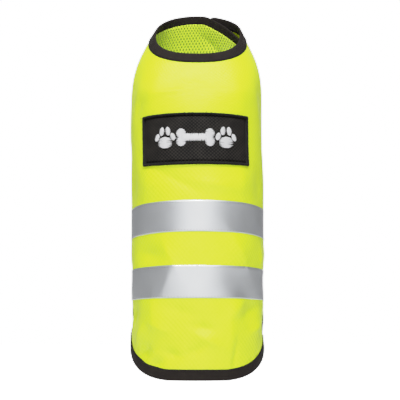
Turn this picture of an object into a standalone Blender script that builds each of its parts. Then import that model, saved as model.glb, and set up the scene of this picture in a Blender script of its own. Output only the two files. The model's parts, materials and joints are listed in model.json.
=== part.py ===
"""High-visibility vest for a small dog, filled out as if worn and set on end, neck up.

Frame: +Z runs from the tail end to the neck, +Y from the dog's back to its belly, and +X to the
right of someone who looks at the badge. The origin is on the trunk's axis, at the chest girth.

Each cloth piece is drawn as a flat pattern in millimetres: s runs round the girth from the middle
of the back, positive towards +X, and h runs from the hem's lowest point towards the neck.
wrap() lays a pattern point on the filled-out form.
"""

import math
from collections import namedtuple

import bpy
from mathutils import Vector
from mathutils.geometry import delaunay_2d_cdt

MM = 0.001

# Driving sizes of the garment, in millimetres.
GIRTH = 408.0  # round the chest
NECK = 343.0  # pattern height of the neck edge
ORIGIN_HEIGHT = 160.0  # pattern height of the chest girth, where the origin lies
SEAM = 130.0  # side seams, either side of the middle of the back
SEAM_GAP = 0.3

# Rear hem and the edges of the wings.
HEM_REACH = 125.0  # from the middle of the back to where the rear edge runs straight up
HEM_RADIUS = 100.0
BELLY_REAR = 120.0
BELLY_FRONT = 202.0
CHEST_REAR = 264.0
BELLY_FILLET = 18.0
LEG_REACH = 121.0
LEG_RADIUS = 30.0
END_RADIUS = 24.0
LINING_REACH = 96.0  # the lining reaches from the inner chest wing's end to here on the same side
CHEST_END_RIGHT = 197.0  # the outer wings, on the right, end just short of the belly's middle
CHEST_CORNER_RIGHT = 18.0
BELLY_END_RIGHT = 193.0
CHEST_END_LEFT = 304.0  # the inner wings run past the middle of the belly
BELLY_END_LEFT = 271.0
DIP_START = 216.0  # the inner chest wing's neck edge slopes down from here
DIP = 19.0
DIP_RADIUS = 60.0

# Thicknesses and clearances.
CLOTH = 1.2
GAP = 0.3
TRIM = 1.0  # binding, tape, lining and touch-and-close strips
PATCH_THICK = 1.4
PATCH_GROOVE = 0.7
LAYER = CLOTH + 2 * TRIM + 3 * GAP  # from an outer wing's middle to the inner wing's
LAYER_START = 172.0  # the left wings slope inwards from here
LAYER_RUN = 36.0

# What is sewn on.
BINDING_OUTSIDE = 9.2
BINDING_INSIDE = 8.2
TAPE_WIDTH = 29.0
TAPE_REAR_LOW = 73.6
TAPE_FRONT_LOW = 133.0
TAPE_FRONT_LEFT = 201.25
CLOSURE_LEFT = 152.0  # the touch-and-close strips, where the wings lie on each other
CLOSURE_RIGHT = 178.0
CHEST_CLOSURE = (280.0, 320.0)
BELLY_CLOSURE = (136.0, 186.0)
PATCH_COLUMNS = 13  # the badge is this many columns of the pattern grid wide
PATCH_HEIGHT = 53.0
PATCH_LOW = 195.8
PATCH_STITCH = 1.6

# Mesh spacing.
COLUMN = GIRTH / 46
PATCH_BORDER = COLUMN / 2  # so that the badge and the cloth under it bend along the same column
ROW_MOST = 11.0
ARC_STEP = 6.5
EDGE_STEP = COLUMN
NEAREST = 3.6  # how near the outline a grid point may be
SAME = 0.001  # pattern points nearer than this are one
SLOPE_STEP = 0.5
SHARP = 40  # degrees between faces that shade as an edge

# Rings of the filled-out form, from below the hem to above the neck edge.
# A power is 2 for an ellipse, and more is fuller.
Section = namedtuple("Section", "h half_width back_depth belly_depth tilt middle back_power belly_power")
SECTIONS = (
    Section(-40, 64.4, 60.0, 60.0, 0, 0, 2.06, 2.06),
    Section(0, 64.6, 60.5, 60.5, 0, 0, 2.06, 2.06),
    Section(60, 64.8, 61.5, 61.5, -0.5, 0, 2.06, 2.06),
    Section(100, 64.6, 62.0, 62.0, -2.3, 0, 2.06, 2.06),
    Section(140, 64.6, 62.0, 63.0, -3.5, 0, 2.06, 2.06),
    Section(180, 65.4, 62.0, 64.0, -4, 0, 2.06, 2.06),
    Section(230, 66.1, 61.5, 65.5, -2.6, -0.9, 2.06, 2.06),
    Section(250, 66.0, 61.0, 65.4, -0.5, -1.1, 2.06, 2.06),
    Section(265, 65.8, 60.5, 64.8, 4.5, -1.2, 2.06, 2.06),
    Section(285, 65.0, 59.5, 62.5, 14, -1.0, 2.06, 2.06),
    Section(300, 63.2, 57.6, 60.0, 22.5, -0.6, 2.08, 2.06),
    Section(315, 59.0, 55.0, 56.8, 29.5, -0.2, 2.15, 2.08),
    Section(330, 51.6, 52.0, 53.2, 35, 0, 2.3, 2.12),
    Section(343, 43.2, 50.0, 50.2, 38.2, 0, 2.5, 2.2),
    Section(356, 35.6, 48.0, 47.4, 40.5, 0, 2.6, 2.25),
)

# Soft folds: middle, half length, half width, the way the fold runs (degrees from +s), and height.
Fold = namedtuple("Fold", "s h length width turn height")
FOLDS = (
    Fold(-52, 117, 20, 8, -10, -2.8),
    Fold(50, 116, 22, 6, -80, -2.4),
    Fold(27, 117, 22, 13, 80, 1.2),
    Fold(14, 178, 24, 6, 0, -2.0),
    Fold(-27, 177, 32, 7, -25, 2.0),
    Fold(-80, 182, 18, 10, 80, -1.8),
    Fold(72, 180, 18, 10, -80, -1.8),
    Fold(-41, 58, 20, 6, -57, -2.2),
    Fold(-16, 56, 18, 7, -18, -1.8),
    Fold(56, 62, 17, 11, 30, -3.0),
    Fold(43, 30, 19, 6, 80, -2.4),
    Fold(73, 50, 12, 7, 60, 1.8),
    Fold(-74, 50, 15, 8, 80, -2.4),
    Fold(-57, 27, 13, 7, -40, -2.0),
    Fold(-84, 285, 34, 12, 75, -1.6),
    Fold(88, 268, 30, 10, -70, -1.8),
    Fold(-160, 296, 30, 12, 24, -1.5),
    Fold(142, 288, 24, 9, -35, -2.0),
    Fold(136, 348, 30, 13, 0, 2.4),
    Fold(-158, 148, 26, 12, -30, -1.5),
    Fold(206, 168, 22, 8, 12, -1.6),
    Fold(-106, 90, 22, 12, 65, -1.6),
    Fold(106, 86, 20, 12, -60, -1.6),
)

Corner = namedtuple("Corner", "name s h radius")
BINDING_JOINS = ("belly_end_rear", "chest_end_front")  # corners where one binding meets the next
TAU = 2 * math.pi


def smooth(t):
    """Rises from 0 to 1 as t does, with a level start and end."""
    t = min(max(t, 0.0), 1.0)
    return t * t * (3 - 2 * t)


def section(h):
    """The ring of the form at pattern height h, on a smooth curve through SECTIONS."""
    last = len(SECTIONS) - 2
    i = next((k for k in range(last) if h < SECTIONS[k + 1].h), last)
    near = [SECTIONS[min(max(k, 0), last + 1)] for k in (i - 1, i, i + 1, i + 2)]
    span = near[2].h - near[1].h
    t = (h - near[1].h) / span
    values = []
    for before, start, end, after in list(zip(*near))[1:]:
        leaving = (end - before) / max(near[2].h - near[0].h, 1) * span
        arriving = (after - start) / max(near[3].h - near[1].h, 1) * span
        values.append(
            start * (2 * t**3 - 3 * t**2 + 1)
            + leaving * (t**3 - 2 * t**2 + t)
            + end * (3 * t**2 - 2 * t**3)
            + arriving * (t**3 - t**2)
        )
    return Section(h, *values)


def fold_height(s, h):
    """How far the folds move the cloth outwards at a pattern point."""
    total = 0.0
    for fold in FOLDS:
        turn = math.radians(fold.turn)
        round_girth = math.remainder(s - fold.s, GIRTH)
        along = round_girth * math.cos(turn) + (h - fold.h) * math.sin(turn)
        across = (h - fold.h) * math.cos(turn) - round_girth * math.sin(turn)
        total += fold.height * math.exp(-((along / fold.length) ** 2) - (across / fold.width) ** 2)
    return total


def form_point(s, h):
    """The point of the form under a pattern point, in millimetres."""
    ring = section(h)
    angle = TAU * s / GIRTH
    across, up = math.sin(angle), math.cos(angle)
    depth = ring.back_depth if up > 0 else ring.belly_depth
    power = ring.back_power if up > 0 else ring.belly_power
    radius = ((abs(up) / depth) ** power + (abs(across) / ring.half_width) ** power) ** (-1 / power)
    radius += fold_height(s, h)
    tilt = math.radians(ring.tilt)
    belly_wards = -radius * up
    return Vector(
        (
            ring.middle + radius * across,
            belly_wards * math.cos(tilt),
            h + belly_wards * math.sin(tilt) - ORIGIN_HEIGHT,
        )
    )


def slopes(s, h):
    """What one pattern millimetre along s, and one along h, is on the form."""
    along_s = form_point(s + SLOPE_STEP, h) - form_point(s - SLOPE_STEP, h)
    along_h = form_point(s, h + SLOPE_STEP) - form_point(s, h - SLOPE_STEP)
    return along_s / (2 * SLOPE_STEP), along_h / (2 * SLOPE_STEP)


def wrap(s, h, lift=0.0):
    """A pattern point on the form, lift millimetres outside it, in metres."""
    along_s, along_h = slopes(s, h)
    outwards = along_s.cross(along_h).normalized()
    lift -= LAYER * smooth((-LAYER_START - s) / LAYER_RUN)
    return (form_point(s, h) + outwards * lift) * MM


def inward(s, h, run):
    """The pattern step of one real millimetre into the cloth, square to an edge that runs along run.

    The cloth is on the left of the run, as seen from outside.
    """
    along_s, along_h = slopes(s, h)
    edge = along_s * run[0] + along_h * run[1]
    square = along_s.cross(along_h).cross(edge).normalized()
    ss, sh, hh = along_s.dot(along_s), along_s.dot(along_h), along_h.dot(along_h)
    on_s, on_h = square.dot(along_s), square.dot(along_h)
    size = ss * hh - sh * sh
    return ((on_s * hh - on_h * sh) / size, (on_h * ss - on_s * sh) / size)


# Outlines on the flat pattern. Each runs with the cloth on its left.


def half_corners(side, chest_end, belly_end, chest_top, chest_corner):
    """One side's corners from the rear hem to the neck edge; side is 1 for right and -1 for left."""
    rows = (
        ("hem", HEM_REACH, 0, HEM_RADIUS),
        ("belly_rear", HEM_REACH, BELLY_REAR, BELLY_FILLET),
        ("belly_end_rear", belly_end, BELLY_REAR, END_RADIUS),
        ("belly_end_front", belly_end, BELLY_FRONT, END_RADIUS),
        ("leg_rear", LEG_REACH, BELLY_FRONT, LEG_RADIUS),
        ("leg_front", LEG_REACH, CHEST_REAR, LEG_RADIUS),
        ("chest_end_rear", chest_end, CHEST_REAR, END_RADIUS),
        ("chest_end_front", chest_end, chest_top, chest_corner),
    )
    return [Corner(name, side * s, h, radius) for name, s, h, radius in rows]


def steps(start, end, most):
    """Points from start up to but not including end, at most `most` apart."""
    count = max(1, math.ceil((end - start).length / most - 0.001))
    return [start.lerp(end, k / count) for k in range(count)]


def turned(v, angle):
    """A flat vector turned anticlockwise."""
    return Vector(
        (v.x * math.cos(angle) - v.y * math.sin(angle), v.x * math.sin(angle) + v.y * math.cos(angle))
    )


def arc(corner, before, after):
    """The arc that rounds a corner between its neighbours, as an odd number of points."""
    at = Vector((corner.s, corner.h))
    back, ahead = ((Vector((c.s, c.h)) - at).normalized() for c in (before, after))
    half = back.angle(ahead) / 2
    start, end = (at + way * corner.radius / math.tan(half) for way in (back, ahead))
    centre = at + (back + ahead).normalized() * corner.radius / math.sin(half)
    sweep = (start - centre).angle_signed(end - centre)
    count = max(4, 2 * math.ceil(abs(sweep) * corner.radius / ARC_STEP / 2))
    return [centre + turned(start - centre, -sweep * k / count) for k in range(count + 1)]


def rounded(corners):
    """The closed outline through rounded corners, and the middle point of each corner."""
    neighbours = zip(corners, corners[-1:] + corners[:-1], corners[1:] + corners[:1])
    arcs = [arc(*three) for three in neighbours]
    points = []
    for here, after in zip(arcs, arcs[1:] + arcs[:1]):
        points += here[:-1] + steps(here[-1], after[0], EDGE_STEP)
    return points, [here[len(here) // 2] for here in arcs]


def crossed(outline, limit):
    """An outline with a point wherever it crosses s = limit, instead of those near there."""
    kept = [p for p in outline if abs(p.x - limit) > NEAREST]
    points = []
    for here, after in zip(kept, kept[1:] + kept[:1]):
        points.append(here)
        if (here.x > limit) != (after.x > limit):
            points.append(here.lerp(after, (limit - here.x) / (after.x - here.x)))
    return points


def clip(outline, axis, side, limit):
    """The part of an outline where side * coordinate >= side * limit; axis is 0 for s and 1 for h."""
    kept = []
    for before, here in zip(outline[-1:] + outline[:-1], outline):
        was, now = (side * (p[axis] - limit) for p in (before, here))
        if (was > 0) != (now > 0):
            kept.append(before.lerp(here, was / (was - now)))
        if now > 0:
            kept.append(here)
    return kept


def divided(outline, most):
    """An outline whose long sides are divided, as clip leaves one undivided side along a seam."""
    points = []
    for here, after in zip(outline, outline[1:] + outline[:1]):
        points += steps(here, after, most)
    return points


def rows_between(heights):
    """Pattern heights that include those given, at most ROW_MOST apart."""
    rows = []
    for low, high in zip(heights, heights[1:]):
        count = max(1, math.ceil((high - low) / ROW_MOST))
        rows += [low + (high - low) * k / count for k in range(count)]
    return rows + [heights[-1]]


ROWS = rows_between(
    (
        0,
        TAPE_REAR_LOW,
        TAPE_REAR_LOW + TAPE_WIDTH,
        TAPE_FRONT_LOW,
        TAPE_FRONT_LOW + TAPE_WIDTH,
        PATCH_LOW,
        PATCH_LOW + PATCH_HEIGHT,
        NECK,
    )
)


def from_edge(outline, point):
    """Distance from a pattern point to the outline, negative outside it."""
    inside, nearest = False, math.inf
    for a, b in zip(outline, outline[1:] + outline[:1]):
        if (a.y > point.y) != (b.y > point.y):
            inside ^= point.x < a.x + (point.y - a.y) * (b.x - a.x) / (b.y - a.y)
        t = min(max((point - a).dot(b - a) / (b - a).length_squared, 0), 1)
        nearest = min(nearest, (point - a.lerp(b, t)).length)
    return nearest if inside else -nearest


def drawn_in(outline, distance):
    """A closed outline moved a real distance into the cloth, point for point."""
    moved = []
    for k, here in enumerate(outline):
        step = inward(here.x, here.y, outline[(k + 1) % len(outline)] - outline[k - 1])
        moved.append(here + Vector(step) * distance)
    return moved


def diagonals(bound):
    """For each stretch between two stations of a binding, whether its diagonal leans forwards.

    It then runs from the edge at the first station to the inner line at the second. The shorter
    diagonal is taken.
    """
    following = bound[1:] + bound[:1]
    return [(a - d).length < (b - c).length for (a, b), (c, d) in zip(bound, following)]


def cut(outline, bound=()):
    """A flat piece as its points and triangles.

    bound is the body's outline and the line where the binding ends, as a pair of points for each
    station. Between them, the piece's triangles are those of the binding, cut off where the piece
    ends. Its other points are the pattern grid's.
    """
    low, high = min(p.x for p in outline), max(p.x for p in outline)
    columns = range(math.ceil(low / COLUMN), math.floor(high / COLUMN) + 1)
    grid = [Vector((k * COLUMN, h)) for k in columns for h in ROWS]
    grid = [p for p in grid if from_edge(outline, p) > NEAREST]
    line = [inner for _, inner in bound]
    if line:
        grid = [p for p in grid if from_edge(line, p) > NEAREST]
    count = len(bound)
    edges = []
    for k, forwards in enumerate(diagonals(list(bound))):
        here, after = k, (k + 1) % count
        edges += [(here, here + count), (here + count, after + count)]
        edges.append((here, after + count) if forwards else (after, here + count))
    points = [edge for edge, _ in bound] + line
    face = list(range(len(points), len(points) + len(outline)))
    points, _, triangles = delaunay_2d_cdt(points + outline + grid, edges, [face], 0, SAME)[:3]
    middles = [sum((points[k] for k in triangle), Vector((0, 0))) / 3 for triangle in triangles]
    triangles = [t for t, middle in zip(triangles, middles) if from_edge(outline, middle) > 0]
    used = sorted({k for triangle in triangles for k in triangle})
    place = {k: order for order, k in enumerate(used)}
    return [points[k] for k in used], [tuple(place[k] for k in triangle) for triangle in triangles]


# Solids.


def make_object(name, points, faces, material):
    """A named object from points in metres, shaded smooth but for its cut edges."""
    mesh = bpy.data.meshes.new(name)
    mesh.from_pydata(points, [], faces)
    mesh.update()
    mesh.shade_smooth()
    mesh.set_sharp_from_angle(angle=math.radians(SHARP))
    mesh.materials.append(material)
    obj = bpy.data.objects.new(name, mesh)
    bpy.context.scene.collection.objects.link(obj)
    return obj


def wall(name, flat, inside, outside, material):
    """A flat piece wrapped into a closed wall between two lifts from the form.

    outside is a lift, or a function of the pattern point that gives one.
    """
    points, triangles = flat
    count = len(points)
    lift = outside if callable(outside) else lambda s, h: outside
    solid = [wrap(p.x, p.y, lift(p.x, p.y)) for p in points]
    solid += [wrap(p.x, p.y, inside) for p in points]
    sides = {(a, b) for t in triangles for a, b in zip(t, t[1:] + t[:1])}
    rim = [(b, a, a + count, b + count) for a, b in sorted(sides) if (b, a) not in sides]
    back = [tuple(k + count for k in reversed(t)) for t in triangles]
    return make_object(name, solid, [tuple(t) for t in triangles] + back + rim, material)


def binding_profile():
    """The folded tape's section, as pairs of distance into the cloth and lift, going round it."""
    near = CLOTH / 2 + GAP
    far = near + TRIM
    fold = GAP + TRIM
    shoulder = 0.1 * TRIM
    return (
        (BINDING_OUTSIDE, near),
        (BINDING_OUTSIDE, far),
        (shoulder, far),
        (-fold, near / 2),
        (-fold, -near / 2),
        (shoulder, -far),
        (BINDING_INSIDE, -far),
        (BINDING_INSIDE, -near),
        (-GAP, -near),
        (-GAP, near),
    )


def binding(name, bound, start, end, material):
    """Tape folded over the body's edge from one station to another, by number."""
    count = len(bound)
    stations = [k % count for k in range(start, end + 1 if end > start else end + 1 + count)]
    leaning = diagonals(bound)
    profile = binding_profile()
    size = len(profile)
    points, faces = [], []
    for order, k in enumerate(stations):
        edge, inner = bound[k]
        run = bound[(k + 1) % count][0] - bound[k - 1][0]
        trim = {0: SEAM_GAP / 2, len(stations) - 1: -SEAM_GAP / 2}.get(order, 0)
        here = edge + run.normalized() * trim
        step = (inner - edge) / BINDING_OUTSIDE
        points += [wrap(*(here + step * distance), lift) for distance, lift in profile]
    for order, k in enumerate(stations[:-1]):
        for corner in range(size):
            after = (corner + 1) % size
            a, b = order * size + corner, order * size + after
            if (profile[corner][0] < profile[after][0]) == leaning[k]:
                faces += [(a, b, b + size), (a, b + size, a + size)]
            else:
                faces += [(a, b, a + size), (b, b + size, a + size)]
    faces.append(tuple(reversed(range(size))))
    faces.append(tuple(range(len(points) - size, len(points))))
    return make_object(name, points, faces, material)


def rectangle(left, right, low, high, end=None):
    """A strip's outline with points where the pattern grid has them; end moves each side's points."""
    end = end or (lambda s, h: s)

    def across(h):
        """The points of the side at height h, from left to right."""
        ends = end(left, h), end(right, h)
        first, last = (math.ceil(ends[0] / COLUMN), math.floor(ends[1] / COLUMN))
        inner = [k * COLUMN for k in range(first, last + 1)]
        inner = [s for s in inner if ends[0] + NEAREST < s < ends[1] - NEAREST]
        return [(s, h) for s in (ends[0], *inner, ends[1])]

    rows = [h for h in ROWS if low + NEAREST < h < high - NEAREST]
    points = across(low) + [(end(right, h), h) for h in rows]
    points += across(high)[::-1] + [(end(left, h), h) for h in reversed(rows)]
    return [Vector(p) for p in points]


def crossing(outline, h, side, most):
    """The s furthest out on a side where an outline crosses height h, or most if that is nearer."""
    found = []
    for a, b in zip(outline, outline[1:] + outline[:1]):
        if (a.y > h) != (b.y > h):
            s = a.x + (h - a.y) * (b.x - a.x) / (b.y - a.y)
            found.append(side * s)
    return side * min(max(found), most)


def patch_lines(low, high, inner):
    """Grid lines across the badge: its edge, the stitched groove and the lines between."""
    edge = (0, PATCH_BORDER, PATCH_BORDER + PATCH_STITCH / 2, PATCH_BORDER + PATCH_STITCH)
    return [low + d for d in edge] + inner + [high - d for d in reversed(edge)]


def patch(material):
    """The badge: a flat border, the groove that its stitching pulls in, and the field inside it."""
    half = PATCH_COLUMNS * COLUMN / 2
    inner = [k * COLUMN for k in range(1 - PATCH_COLUMNS // 2, PATCH_COLUMNS // 2)]
    columns = patch_lines(-half, half, inner)
    margin = PATCH_BORDER + PATCH_STITCH + NEAREST
    high = PATCH_LOW + PATCH_HEIGHT
    rows = patch_lines(PATCH_LOW, high, [h for h in ROWS if PATCH_LOW + margin < h < high - margin])
    points = [Vector((s, h)) for h in rows for s in columns]
    across = len(columns)
    quads = []
    for j in range(len(rows) - 1):
        for i in range(across - 1):
            corner = j * across + i
            quads += [(corner, corner + 1, corner + across + 1)]
            quads += [(corner, corner + across + 1, corner + across)]

    base = CLOTH / 2 + GAP
    groove = PATCH_BORDER + PATCH_STITCH / 2

    def lift(s, h):
        edge = min(half - abs(s), h - PATCH_LOW, high - h)
        return base + PATCH_THICK - PATCH_GROOVE * (abs(edge - groove) < SAME)

    return wall("patch", (points, quads), base, lift, material)


def fabric(name, colour, roughness, metallic=0.0):
    """A plain cloth material."""
    material = bpy.data.materials.new(name)
    material.diffuse_color = (*colour, 1)
    material.use_nodes = True
    shader = material.node_tree.nodes["Principled BSDF"]
    shader.inputs["Base Color"].default_value = (*colour, 1)
    shader.inputs["Roughness"].default_value = roughness
    shader.inputs["Metallic"].default_value = metallic
    return material


def body_outline():
    """The whole body's outline, wings and all, and where in it one binding meets the next."""
    right = half_corners(1, CHEST_END_RIGHT, BELLY_END_RIGHT, NECK, CHEST_CORNER_RIGHT)
    left = half_corners(-1, CHEST_END_LEFT, BELLY_END_LEFT, NECK - DIP, END_RADIUS)
    dip = Corner("neck_dip", -DIP_START, NECK, DIP_RADIUS)
    corners = right + [dip] + left[::-1]
    outline, middles = rounded(corners)
    outline = crossed(crossed(outline, SEAM), -SEAM)
    joins = [p for corner, p in zip(corners, middles) if corner.name in BINDING_JOINS]
    return outline, [outline.index(p) for p in joins]


def body_pieces(outline):
    """The panels that the seams divide the body into, by name."""
    half = SEAM_GAP / 2
    legs = (BELLY_FRONT + CHEST_REAR) / 2
    pieces = {"back_panel": clip(clip(outline, 0, -1, SEAM - half), 0, 1, -SEAM + half)}
    for name, side in (("right", 1), ("left", -1)):
        for part, end in (("chest", 1), ("belly", -1)):
            halved = clip(outline, 1, end, legs)
            pieces[f"{part}_wing_{name}"] = clip(halved, 0, side, side * (SEAM + half))
    return {name: divided(piece, EDGE_STEP) for name, piece in pieces.items()}


def lining_outline(outline):
    """The lining's outline: the left chest wing and side, clear of the binding's inner leg."""
    inner = drawn_in(outline, BINDING_INSIDE + GAP)
    chest = clip(inner, 1, 1, (BELLY_FRONT + CHEST_REAR) / 2)
    return divided(clip(chest, 0, -1, -LINING_REACH), EDGE_STEP)


def strip_on(outline, low, left, right):
    """A reflective tape's outline between two reaches, kept clear of the binding."""
    inner = drawn_in(outline, BINDING_OUTSIDE + 2 * GAP)

    def end(s, h):
        return crossing(inner, h, 1, right) if s > 0 else crossing(inner, h, -1, left)

    return rectangle(-left, right, low, low + TAPE_WIDTH, end)


def main():
    for obj in list(bpy.data.objects):
        bpy.data.objects.remove(obj)

    cloth = fabric("hi_vis_cloth", (0.68, 0.80, 0.03), 0.7)
    mesh_cloth = fabric("mesh_lining", (0.55, 0.72, 0.04), 0.8)
    black_tape = fabric("binding_tape", (0.02, 0.02, 0.022), 0.6)
    silver_tape = fabric("reflective_tape", (0.55, 0.56, 0.57), 0.35, 0.5)
    black_cloth = fabric("patch_cloth", (0.025, 0.025, 0.028), 0.75)
    closure = fabric("hook_and_loop", (0.03, 0.03, 0.03), 0.9)

    outline, joins = body_outline()
    bound = list(zip(outline, drawn_in(outline, BINDING_OUTSIDE)))
    for name, piece in body_pieces(outline).items():
        wall(name, cut(piece, bound), -CLOTH / 2, CLOTH / 2, cloth)

    near = CLOTH / 2 + GAP
    far = near + TRIM
    wall("throat_lining", cut(lining_outline(outline), bound), -far, -near, mesh_cloth)

    names = ("leg_binding_right", "neck_binding", "leg_binding_left", "hem_binding")
    for name, start, end in zip(names, joins, joins[1:] + joins[:1]):
        binding(name, bound, start, end, black_tape)

    rear = strip_on(outline, TAPE_REAR_LOW, HEM_REACH, HEM_REACH)
    wall("tape_rear", cut(rear), near, far, silver_tape)
    front = strip_on(outline, TAPE_FRONT_LOW, TAPE_FRONT_LEFT, BELLY_END_RIGHT)
    wall("tape_front", cut(front), near, far, silver_tape)
    patch(black_cloth)

    for name, (low, high) in (("chest", CHEST_CLOSURE), ("belly", BELLY_CLOSURE)):
        hook = rectangle(CLOSURE_LEFT, CLOSURE_RIGHT, low, high)
        wall(f"{name}_hook", cut(hook), -far, -near, closure)
        loop = rectangle(CLOSURE_LEFT - GIRTH, CLOSURE_RIGHT - GIRTH, low, high)
        wall(f"{name}_loop", cut(loop), near, far, closure)


if __name__ == "__main__":
    main()
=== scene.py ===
"""The looks of a small dog's high-visibility vest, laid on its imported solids.

Each cloth piece is drawn on the flat pattern that its solid has, in millimetres: s runs round the
girth from the middle of the back, positive towards +X, and h runs from the hem's lowest point
towards the neck. A pattern point is the complex number s + ih. wrap() lays such points on the
filled-out form. Each mesh keeps its pattern in a UV map, so that weaves and ribs follow the cloth.
"""

import json
import math
from collections import namedtuple

import bpy
import numpy as np
from mathutils.geometry import delaunay_2d_cdt
from mathutils.kdtree import KDTree
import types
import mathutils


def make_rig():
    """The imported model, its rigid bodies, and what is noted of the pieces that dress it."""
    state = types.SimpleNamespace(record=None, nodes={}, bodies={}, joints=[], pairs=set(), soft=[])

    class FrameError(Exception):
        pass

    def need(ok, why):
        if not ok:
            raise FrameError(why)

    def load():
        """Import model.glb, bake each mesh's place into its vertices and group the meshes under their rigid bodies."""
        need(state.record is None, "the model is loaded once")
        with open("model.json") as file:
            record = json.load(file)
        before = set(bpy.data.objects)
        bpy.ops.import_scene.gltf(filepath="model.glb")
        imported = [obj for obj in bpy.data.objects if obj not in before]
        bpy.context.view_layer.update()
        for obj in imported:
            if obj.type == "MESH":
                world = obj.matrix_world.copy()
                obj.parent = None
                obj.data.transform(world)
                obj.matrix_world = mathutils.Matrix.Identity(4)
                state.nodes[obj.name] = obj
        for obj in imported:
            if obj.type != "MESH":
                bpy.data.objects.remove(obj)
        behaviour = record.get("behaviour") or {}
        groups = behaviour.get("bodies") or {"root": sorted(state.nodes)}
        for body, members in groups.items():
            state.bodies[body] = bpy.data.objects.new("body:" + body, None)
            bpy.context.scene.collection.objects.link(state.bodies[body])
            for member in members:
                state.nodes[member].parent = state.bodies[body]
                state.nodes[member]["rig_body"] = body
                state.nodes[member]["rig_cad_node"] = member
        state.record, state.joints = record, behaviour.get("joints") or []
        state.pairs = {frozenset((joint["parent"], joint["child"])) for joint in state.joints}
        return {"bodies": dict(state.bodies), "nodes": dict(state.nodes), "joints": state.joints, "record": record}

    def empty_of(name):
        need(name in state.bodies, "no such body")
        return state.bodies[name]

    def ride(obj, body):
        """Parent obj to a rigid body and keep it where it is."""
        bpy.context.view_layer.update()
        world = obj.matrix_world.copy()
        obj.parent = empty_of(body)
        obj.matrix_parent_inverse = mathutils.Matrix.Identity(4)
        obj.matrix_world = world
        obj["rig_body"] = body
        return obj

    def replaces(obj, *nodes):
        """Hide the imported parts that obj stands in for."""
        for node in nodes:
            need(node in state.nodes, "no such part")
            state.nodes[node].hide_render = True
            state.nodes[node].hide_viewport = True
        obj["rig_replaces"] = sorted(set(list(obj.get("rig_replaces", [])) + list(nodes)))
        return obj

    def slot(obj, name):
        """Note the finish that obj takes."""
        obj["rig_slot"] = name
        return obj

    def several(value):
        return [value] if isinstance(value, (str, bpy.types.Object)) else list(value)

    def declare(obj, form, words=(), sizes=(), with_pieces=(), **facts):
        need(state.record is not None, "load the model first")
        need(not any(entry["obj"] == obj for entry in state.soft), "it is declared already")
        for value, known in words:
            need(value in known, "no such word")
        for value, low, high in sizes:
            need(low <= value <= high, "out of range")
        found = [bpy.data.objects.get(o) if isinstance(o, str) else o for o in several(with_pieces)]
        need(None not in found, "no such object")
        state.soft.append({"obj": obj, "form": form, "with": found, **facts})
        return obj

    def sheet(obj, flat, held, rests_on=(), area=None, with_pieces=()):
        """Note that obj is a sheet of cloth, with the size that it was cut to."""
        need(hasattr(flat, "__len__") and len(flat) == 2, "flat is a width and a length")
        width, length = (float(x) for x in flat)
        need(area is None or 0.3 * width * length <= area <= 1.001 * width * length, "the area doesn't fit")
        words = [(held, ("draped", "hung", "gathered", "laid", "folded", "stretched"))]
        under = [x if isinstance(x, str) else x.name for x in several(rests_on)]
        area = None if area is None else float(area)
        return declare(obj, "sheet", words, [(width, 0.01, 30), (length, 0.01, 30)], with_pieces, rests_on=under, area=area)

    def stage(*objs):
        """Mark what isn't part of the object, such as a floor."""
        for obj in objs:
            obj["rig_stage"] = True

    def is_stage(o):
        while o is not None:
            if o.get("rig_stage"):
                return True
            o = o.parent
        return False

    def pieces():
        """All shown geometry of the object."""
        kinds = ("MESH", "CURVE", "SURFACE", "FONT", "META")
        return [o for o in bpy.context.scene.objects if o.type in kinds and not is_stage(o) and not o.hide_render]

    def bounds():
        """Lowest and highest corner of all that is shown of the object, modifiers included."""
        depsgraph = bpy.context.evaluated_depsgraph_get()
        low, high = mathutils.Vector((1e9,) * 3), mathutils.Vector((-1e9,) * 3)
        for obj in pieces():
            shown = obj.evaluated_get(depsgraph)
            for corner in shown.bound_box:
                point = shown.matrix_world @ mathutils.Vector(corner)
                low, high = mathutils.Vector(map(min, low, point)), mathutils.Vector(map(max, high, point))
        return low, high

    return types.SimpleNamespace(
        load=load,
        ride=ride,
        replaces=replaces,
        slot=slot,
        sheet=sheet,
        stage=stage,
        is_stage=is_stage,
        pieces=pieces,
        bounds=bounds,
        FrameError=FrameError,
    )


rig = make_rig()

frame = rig.load()
solid_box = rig.bounds()

MM = 0.001
TAU = 2 * math.pi

# The garment's sizes, in millimetres, as in the solids.
GIRTH = 408.0  # round the chest
NECK = 343.0  # pattern height of the neck edge
ORIGIN_HEIGHT = 160.0  # pattern height of the chest girth, where the origin lies
SEAM = 130.0  # side seams, either side of the middle of the back
HEM_REACH = 125.0  # from the middle of the back to where the rear edge runs straight up
HEM_RADIUS = 100.0
BELLY_REAR = 120.0
BELLY_FRONT = 202.0
CHEST_REAR = 264.0
BELLY_FILLET = 18.0
LEG_REACH = 121.0
LEG_RADIUS = 30.0
END_RADIUS = 24.0
LINING_REACH = 96.0  # the lining reaches from the inner chest wing's end to here on the same side
CHEST_END_RIGHT = 197.0  # the outer wings, on the right, end just short of the belly's middle
CHEST_CORNER_RIGHT = 18.0
BELLY_END_RIGHT = 193.0
CHEST_END_LEFT = 304.0  # the inner wings run past the middle of the belly
BELLY_END_LEFT = 271.0
DIP_START = 216.0  # the inner chest wing's neck edge slopes down from here
DIP = 19.0
DIP_RADIUS = 60.0
LAYER = 4.1  # from an outer wing to the wing inside it
LAYER_START = 172.0  # the left wings slope inwards from here
LAYER_RUN = 36.0
BINDING_OUTSIDE = 9.2
BINDING_INSIDE = 8.2
TAPE_WIDTH = 29.0
TAPE_REAR_LOW = 73.6
TAPE_FRONT_LOW = 133.0
TAPE_FRONT_LEFT = 201.25
CLOSURE_LEFT = 152.0  # the touch-and-close strips, where the wings lie on each other
CLOSURE_RIGHT = 178.0
CHEST_CLOSURE = (280.0, 320.0)
BELLY_CLOSURE = (136.0, 186.0)
PATCH_MIDDLE = -1.7
PATCH_HALF = 57.0
PATCH_LOW = 195.8
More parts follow.
